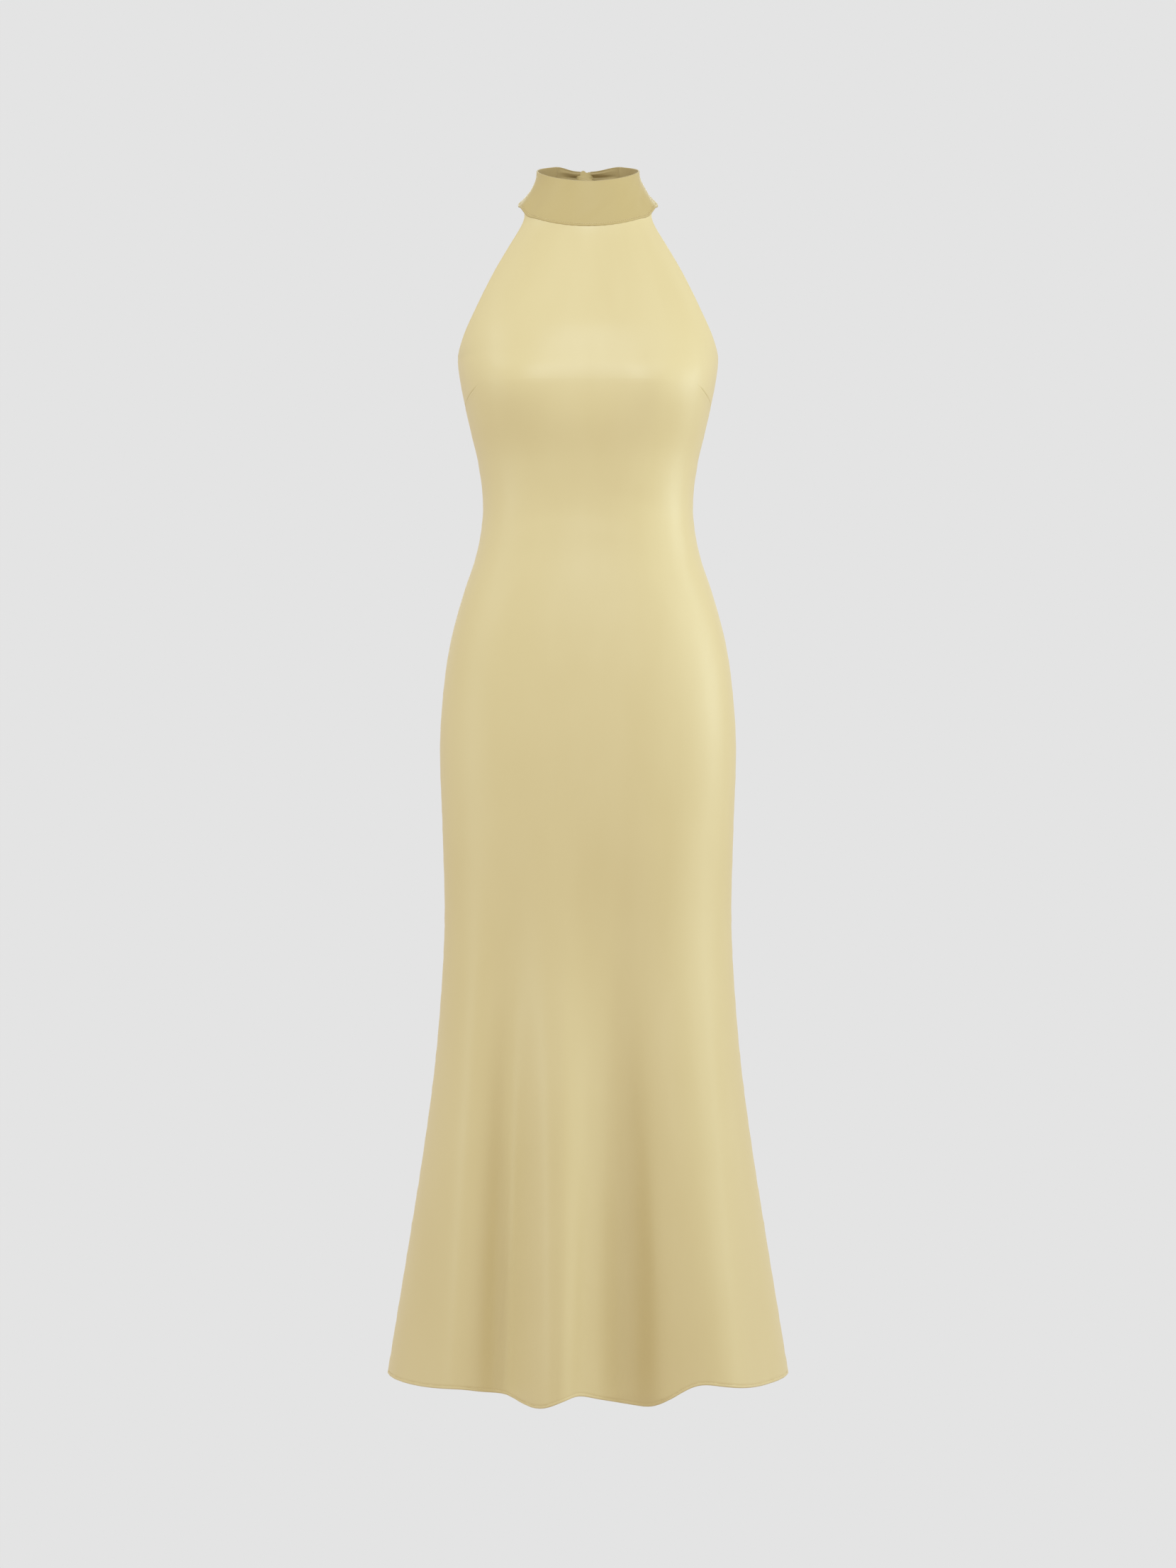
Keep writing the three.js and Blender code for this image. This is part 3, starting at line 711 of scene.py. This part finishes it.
TAIL_GRID = {"rows": 90, "fine": [0.997, 0.992, 0.986, 0.98], "columns": 34}
TAIL_EDGE_STEPS = (0, 0.4, 0.9, 1.6, 2.6, 4.0)
TAIL_CREASES = {"deep": 0.5, "across": 2.3, "down": 0.6, "at": 0.3, "reach": 0.35}
# The sunk lines of a tail's narrow hems
TAIL_HEM = {"deep": 0.25, "side": 3, "side_wide": 0.8, "end": 4, "end_wide": 1}


def tail(name, side):
    """One free end of a tie, which hangs behind the back from the knot."""
    down = spaced(1, 0, 1 / TAIL_GRID["rows"], TAIL_GRID["fine"])[:, None]
    edge_steps = [s / TAIL["width"] for s in TAIL_EDGE_STEPS]
    across = spaced(0, 1, 1 / TAIL_GRID["columns"], edge_steps + [1 - s for s in edge_steps])[None, :] - 0.5
    spread = smoothstep(down, 0, TAIL_PLACE["spread_by"])
    width = lerp(TAIL["gathered"], TAIL["width"], spread)
    apart = lerp(TAIL_PLACE["apart"], TAIL_PLACE["spread_apart"], np.sin(down * QUARTER))
    middle = KNOT["x"] * (1 - spread) + side * apart
    gather = TAIL_FOLDS["gather"] * (1 - spread) * np.cos(2 * math.pi * TAIL_FOLDS["folds"] * across)
    ripple = TAIL_FOLDS["ripple"] * spread * np.sin(2 * math.pi * across + side)
    sway = TAIL_FOLDS["sway"] * down * np.sin(TAIL_FOLDS["sway_turns"] * down + side)
    behind = lerp(TAIL_BEHIND["top"], TAIL_BEHIND["end"], spread)
    turns = TAIL_CREASES["across"] * across + TAIL_CREASES["down"] * down
    creases = TAIL_CREASES["deep"] * np.sin(2 * math.pi * turns + side)
    creases = creases * bell((down - TAIL_CREASES["at"]) / TAIL_CREASES["reach"])
    from_side_edge = (0.5 - np.abs(across)) * width
    from_end = (1 - down) * TAIL["length"]
    hem = bell((from_side_edge - TAIL_HEM["side"]) / TAIL_HEM["side_wide"])
    hem = TAIL_HEM["deep"] * (hem + bell((from_end - TAIL_HEM["end"]) / TAIL_HEM["end_wide"]))
    y = KNOT["y"] + behind + gather + ripple + sway + creases - hem
    x = middle - across * width
    z = KNOT["z"] - down * (TAIL["length"] + TAIL["slant"] * side * across)
    x, y, z = np.broadcast_arrays(x, y, z)
    outer = np.stack([x, y, z], -1)
    inner = outer - np.array([0, TIE_THICKNESS, 0])
    weave = np.stack([x, z], -1)
    return Shell(name + "_satin", outer, inner, weave).make()


# The knot's wraps: the direction that each wrap turns about, how wide it is and how far it stands out
KNOT_WRAPS = (
    ((0.25, 0.1, 1.0), 0.42, 0.16),
    ((0.92, 0.2, 0.42), 0.3, 0.12),
    ((-0.75, 0.25, 0.6), 0.26, 0.1),
)
KNOT_PLEATS = {"count": 7, "deep": 0.022}
KNOT_CORE = 0.88  # how far out the knot's core lies, as a share of its size
WRAP_EDGE = 8  # how steep a wrap's edges are


def knot():
    bpy.ops.mesh.primitive_uv_sphere_add(segments=144, ring_count=96, radius=1)
    made = bpy.context.object
    made.name = "tie_knot_satin"
    mesh = made.data
    way = np.zeros(len(mesh.vertices) * 3)
    mesh.vertices.foreach_get("co", way)
    way = way.reshape(-1, 3)
    swell = np.full(len(way), KNOT_CORE)
    for axis, wide, out in KNOT_WRAPS:
        off = way @ unit(np.array(axis))
        belt = 1 / (1 + (off / wide) ** WRAP_EDGE)
        pleats = KNOT_PLEATS["deep"] * np.cos(KNOT_PLEATS["count"] * math.pi * off / wide)
        swell = np.maximum(swell, KNOT_CORE + belt * (out + pleats))
    size = np.array([KNOT["half_x"], KNOT["half_y"], KNOT["half_z"]])
    places = way * size * swell[:, None] + np.array([KNOT["x"], KNOT["y"], KNOT["z"]])
    mesh.vertices.foreach_set("co", (places * MM).ravel())
    mesh.polygons.foreach_set("use_smooth", [True] * len(mesh.polygons))
    set_weave(mesh, np.stack([places[:, 0], places[:, 2], 0 * places[:, 0]], -1) * MM)
    mesh.update()
    return made


STITCH = {"long": 2.0, "gap": 0.6, "thick": 0.2, "arch": 0.16, "sunk": 0.06, "end": 0.35}
STITCH_POINTS = 5  # places along one stitch
STITCH_SECTION = 6  # places round it
LINE_POINTS = {"hem": 900, "band": 700}  # places along a line of stitches
CLEAR_OF_ENDS = {"hem": 4, "band": 0.02}  # how many of them stay free at each end, or over what angle
STITCH_LIFT = {"hem": 0.1, "band": 0.05}  # how far the line lies out of the cloth


def stitches(name, line, out):
    """A row of stitches along a line on the cloth, each an arched thread whose ends go into the cloth."""
    steps = np.linalg.norm(np.diff(line, axis=0), axis=1)
    place = np.concatenate([[0], np.cumsum(steps)])
    pitch = STITCH["long"] + STITCH["gap"]
    count = int(place[-1] / pitch)
    along = np.linspace(0, 1, STITCH_POINTS)[None, :]
    at = (np.arange(count)[:, None] + 0.5) * place[-1] / count + (along - 0.5) * STITCH["long"]
    centre = np.stack([np.interp(at, place, line[:, i]) for i in range(3)], -1)
    normal = unit(np.stack([np.interp(at, place, out[:, i]) for i in range(3)], -1))
    heading = unit(centre[:, -1:] - centre[:, :1])
    side = np.cross(heading, normal)
    arch = STITCH["arch"] * np.sin(math.pi * along) - STITCH["sunk"]
    thick = STITCH["thick"] * lerp(STITCH["end"], 1, np.sin(math.pi * along))
    turn = np.linspace(0, 2 * math.pi, STITCH_SECTION, endpoint=False)
    ring = (
        normal[:, :, None] * np.cos(turn)[None, None, :, None]
        + side[:, :, None] * np.sin(turn)[None, None, :, None]
    )
    points = centre[:, :, None] + normal[:, :, None] * arch[..., None, None] + ring * thick[..., None, None]
    number = np.arange(count * STITCH_POINTS * STITCH_SECTION).reshape(-1, STITCH_POINTS, STITCH_SECTION)
    following = np.roll(number, -1, axis=2)
    quads = np.stack([number[:, :-1], number[:, 1:], following[:, 1:], following[:, :-1]], -1)
    caps = [list(n) for n in number[:, 0]] + [list(n[::-1]) for n in number[:, -1]]
    mesh = bpy.data.meshes.new(name)
    faces = quads.reshape(-1, 4).tolist() + caps
    mesh.from_pydata((points.reshape(-1, 3) * MM).tolist(), [], faces)
    return smooth_object(name, mesh)


def hem_stitches(name, first, last):
    angle = np.linspace(first, last, LINE_POINTS["hem"])[CLEAR_OF_ENDS["hem"] : -CLEAR_OF_ENDS["hem"]]
    level = np.full_like(angle, HEM_Z + HEM_STITCH)
    z = level - hem_sink(angle, level)
    out = outward_of(body_point, angle, z, 1)
    pucker = bell(HEM_STITCH / HEM_PUCKER["reach"]) * wander(weave_run(angle), HEM_PUCKER["waves"])
    lift = pucker - STITCH_GROOVE["deep"] + STITCH_LIFT["hem"]
    return stitches(name, body_point(angle, z) + out * lift[:, None], out)


def band_stitches():
    end = BAND_SEAM_ANGLE - CLEAR_OF_ENDS["band"]
    angle = np.linspace(-end, math.pi + end, LINE_POINTS["band"])
    tall = np.linalg.norm(band_point(angle, 1) - band_point(angle, 0), axis=-1)
    height = BAND_STITCH / tall
    out = outward_of(band_point, angle, height, SLOPE_STEP)
    return stitches("neckband_stitches", band_point(angle, height) + out * STITCH_LIFT["band"], out)


class Value:
    """A number that varies over a surface. Sums and products with it add Math nodes."""

    def __init__(self, finish, socket):
        self.finish = finish
        self.socket = socket

    def maths(self, operation, first, second):
        return self.finish.add("Math", {"operation": operation}, {0: first, 1: second})

    def __add__(self, other):
        return self.maths("ADD", self, other)

    def __sub__(self, other):
        return self.maths("SUBTRACT", self, other)

    def __rsub__(self, other):
        return self.maths("SUBTRACT", other, self)

    def __mul__(self, other):
        return self.maths("MULTIPLY", self, other)

    __radd__ = __add__
    __rmul__ = __mul__


class Finish:
    """A material, made node by node."""

    def __init__(self, name):
        self.material = bpy.data.materials.new(name)
        self.material.use_nodes = True
        self.tree = self.material.node_tree
        self.tree.nodes.clear()

    def add(self, kind, settings=None, sockets=None, out=0):
        """Adds a node of a kind, with its settings first and then the values or links of its sockets."""
        node = self.tree.nodes.new("ShaderNode" + kind)
        for key, value in (settings or {}).items():
            setattr(node, key, value)
        for key, value in (sockets or {}).items():
            if isinstance(value, Value):
                self.tree.links.new(value.socket, node.inputs[key])
            else:
                node.inputs[key].default_value = value
        return Value(self, node.outputs[out]) if node.outputs else node

    def mix_colour(self, factor, first, second):
        return self.add("Mix", {"data_type": "RGBA"}, {0: factor, 6: first, 7: second}, out=2)

    def noise(self, place, often, detail):
        """Noise that changes so often to a metre, in each direction of the cloth."""
        stretched = self.add("VectorMath", {"operation": "MULTIPLY"}, {0: place, 1: often})
        return self.add("TexNoise", None, {"Vector": stretched, "Scale": 1.0, "Detail": detail})


def tint(red, green, blue):
    """A colour given as pictures show it, each part from 0 to 255, made linear by the usual curve."""
    steps = [c / 255 for c in (red, green, blue)]
    return tuple(((c + 0.055) / 1.055) ** 2.4 if c > 0.04045 else c / 12.92 for c in steps) + (1.0,)


# How often the satin's clouds, long floats and ribs change to a metre, along the cloth and up it
CLOUDS = (9, 5, 0)
FLOATS = (2600, 260, 0)
RIBS = (300, 1900, 0)
FLOAT_TONE = 0.12  # how much of the deeper tone the floats take
ROUGHER = {"clouds": 0.06, "reverse": 0.16}
RAISED = {"floats": 0.6, "ribs": 0.4}


def satin(name, colour, deep, reverse, roughness):
    """Soft satin: a smooth face with long floats, a duller reverse, and slight unevenness in tone."""
    finish = Finish(name)
    weave = finish.add("Attribute", {"attribute_name": "weave"}, out=1)
    inside = finish.add("SeparateXYZ", None, {0: weave}, out=2)
    cloudy = finish.noise(weave, CLOUDS, 3.0)
    floats = finish.noise(weave, FLOATS, 2.0)
    ribs = finish.noise(weave, RIBS, 1.0)
    toned = finish.mix_colour(cloudy, colour, deep)
    fine = finish.mix_colour((floats - 0.5) * FLOAT_TONE + FLOAT_TONE / 2, toned, deep)
    face = finish.mix_colour(inside, fine, reverse)
    rough = roughness + cloudy * ROUGHER["clouds"] + inside * ROUGHER["reverse"]
    raised = floats * RAISED["floats"] + ribs * RAISED["ribs"]
    bump = finish.add("Bump", None, {"Strength": 0.05, "Distance": 0.0002, "Height": raised})
    shader = finish.add(
        "BsdfPrincipled",
        None,
        {
            "Base Color": face,
            "Roughness": rough,
            "Normal": bump,
            "Specular IOR Level": 0.35,
            "Sheen Weight": 0.25,
            "Sheen Roughness": 0.45,
            "Sheen Tint": (1.0, 0.97, 0.88, 1.0),
        },
    )
    finish.add("OutputMaterial", None, {"Surface": shader})
    return finish.material


# The thread's deeper tone is painted shade in the grooves of its twist.
THREAD_SHADE = 0.3  # how much of the deeper tone the thread's twist takes


def thread(name, colour, deep):
    """Sewing thread, whose twist shows as fine bands: the darker ones are painted shade for the grooves of
    the twist.
    """
    finish = Finish(name)
    place = finish.add("TexCoord", None, None, out=3)
    twist = finish.add("TexWave", None, {"Vector": place, "Scale": 2200.0, "Distortion": 2.0}, out=1)
    tone = finish.mix_colour(twist * THREAD_SHADE, colour, deep)
    shader = finish.add("BsdfPrincipled", None, {"Base Color": tone, "Roughness": 0.55})
    finish.add("OutputMaterial", None, {"Surface": shader})
    return finish.material


BODY_SATIN = satin("satin_body", tint(215, 201, 158), tint(207, 191, 144), tint(190, 172, 124), 0.37)
# The neckband, knot, ties and tails are the body's satin in a darker copy. The darker tone is painted shade,
# standing for the shade that falls on the upright band.
SHADED_BAND_SATIN = satin("satin_band", tint(190, 172, 122), tint(182, 163, 113), tint(168, 149, 104), 0.5)
# The second, deeper colour of the thread is painted shade for its twist's grooves.
THREAD = thread("thread", tint(228, 214, 168), tint(176, 152, 98))


def dress(piece, material, slot, *nodes):
    """Gives a piece its material and its body, and hides the nodes whose place it takes. The slot is not
    used.
    """
    piece.data.materials.append(material)
    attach(piece, "root")
    if nodes:
        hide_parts(*nodes)
    return piece


front = dress(front_panel(), BODY_SATIN, "satin_body", "front_panel")
left = dress(back_panel("back_left", math.pi, 1.5 * math.pi), BODY_SATIN, "satin_body", "back_left")
right = dress(back_panel("back_right", 1.5 * math.pi, 2 * math.pi), BODY_SATIN, "satin_body", "back_right")
band = dress(neckband(), SHADED_BAND_SATIN, "satin_band", "neckband")
knotted = dress(knot(), SHADED_BAND_SATIN, "satin_band", "tie_knot")
tie_left = dress(tie("tie_left", 1), SHADED_BAND_SATIN, "satin_band", "tie_left")
tie_right = dress(tie("tie_right", -1), SHADED_BAND_SATIN, "satin_band", "tie_right")
tail_left = dress(tail("tail_left", 1), SHADED_BAND_SATIN, "satin_band", "tail_left")
tail_right = dress(tail("tail_right", -1), SHADED_BAND_SATIN, "satin_band", "tail_right")
front_hem = dress(hem_stitches("front_hem_stitches", 0, math.pi), THREAD, "satin_body")
left_hem = dress(hem_stitches("back_left_hem_stitches", math.pi, 1.5 * math.pi), THREAD, "satin_body")
right_hem = dress(hem_stitches("back_right_hem_stitches", 1.5 * math.pi, 2 * math.pi), THREAD, "satin_body")
band_row = dress(band_stitches(), THREAD, "satin_band")

BACKDROP = 0.7758  # the photograph's plain grey, made linear
FLOOR_Z = -1.75  # the floor's height and radius are in metres
FLOOR_RADIUS = 12
SURROUNDINGS = (0.70, 0.622, 0.52)  # the soft warm light that comes from all sides


def make_floor():
    """The floor is only seen: its plain glow lights nothing."""
    centre = (0, 0, FLOOR_Z)
    bpy.ops.mesh.primitive_circle_add(vertices=96, radius=FLOOR_RADIUS, fill_type="NGON", location=centre)
    floor = bpy.context.object
    floor.name = "floor"
    floor.visible_diffuse = False
    floor.visible_glossy = False
    finish = Finish("floor")
    grey = (BACKDROP, BACKDROP, BACKDROP, 1)
    glow = finish.add("Emission", None, {"Color": grey, "Strength": 1.0})
    finish.add("OutputMaterial", None, {"Surface": glow})
    floor.data.materials.append(finish.material)


def make_world():
    """The surroundings look plain grey, and light the dress a little warmer and dimmer."""
    world = bpy.data.worlds.new("studio")
    bpy.context.scene.world = world
    world.use_nodes = True
    tree = world.node_tree
    lit = tree.nodes["Background"]
    lit.inputs[0].default_value = SURROUNDINGS + (1,)
    seen = tree.nodes.new("ShaderNodeBackground")
    seen.inputs[0].default_value = (BACKDROP, BACKDROP, BACKDROP, 1)
    rays = tree.nodes.new("ShaderNodeLightPath")
    either = tree.nodes.new("ShaderNodeMixShader")
    tree.links.new(rays.outputs["Is Camera Ray"], either.inputs[0])
    tree.links.new(lit.outputs[0], either.inputs[1])
    tree.links.new(seen.outputs[0], either.inputs[2])
    tree.links.new(either.outputs[0], tree.nodes["World Output"].inputs[0])


# Soft boxes that face the dress: the angle from the front towards the picture's right, the angle upwards,
# how far away each is and how high it aims, its width and height, in metres, its power, and its colour
FROM_ABOVE = (0.78, 0.94, 1.05)
FROM_THE_SIDE = (0.8, 0.97, 1.0)
LAMPS = {
    "front": (0, 25, 1.7, -0.25, 0.7, 0.7, 10.5, FROM_ABOVE),
    "top_right": (35, 38, 3.0, -0.6, 0.9, 0.9, 8, FROM_ABOVE),
    "top_left": (-70, 38, 3.0, -0.6, 0.9, 0.9, 11, FROM_ABOVE),
    "right": (75, 12, 3.0, -0.6, 2.2, 2.4, 21, FROM_THE_SIDE),
    "right_hip": (92, 5, 1.5, -0.4, 0.6, 0.6, 4, FROM_THE_SIDE),
    "right_side": (95, 5, 3.0, -0.6, 0.9, 1.8, 5, FROM_THE_SIDE),
    "left_side": (-75, 5, 3.0, -0.6, 0.9, 1.8, 12, FROM_THE_SIDE),
    "back": (180, 38, 3.0, -0.6, 1.6, 1.6, 22, FROM_THE_SIDE),
}


def make_lamp(name, azimuth, elevation, distance, aim, width, height, power, colour):
    data = bpy.data.lights.new(name, "AREA")
    data.shape = "RECTANGLE"
    data.size = width
    data.size_y = height
    data.energy = power
    data.color = colour
    light = bpy.data.objects.new(name, data)
    around_by = math.radians(azimuth)
    up_by = math.radians(elevation)
    level = math.cos(up_by)
    away = Vector((math.sin(around_by) * level, -math.cos(around_by) * level, math.sin(up_by)))
    light.location = Vector((0, 0, aim)) + distance * away
    light.rotation_euler = (-away).to_track_quat("-Z", "Y").to_euler()
    light.visible_camera = False
    bpy.context.scene.collection.objects.link(light)


make_floor()
make_world()
for lamp_name, lamp in LAMPS.items():
    make_lamp(lamp_name, *lamp)

bpy.context.scene.view_settings.view_transform = "Standard"
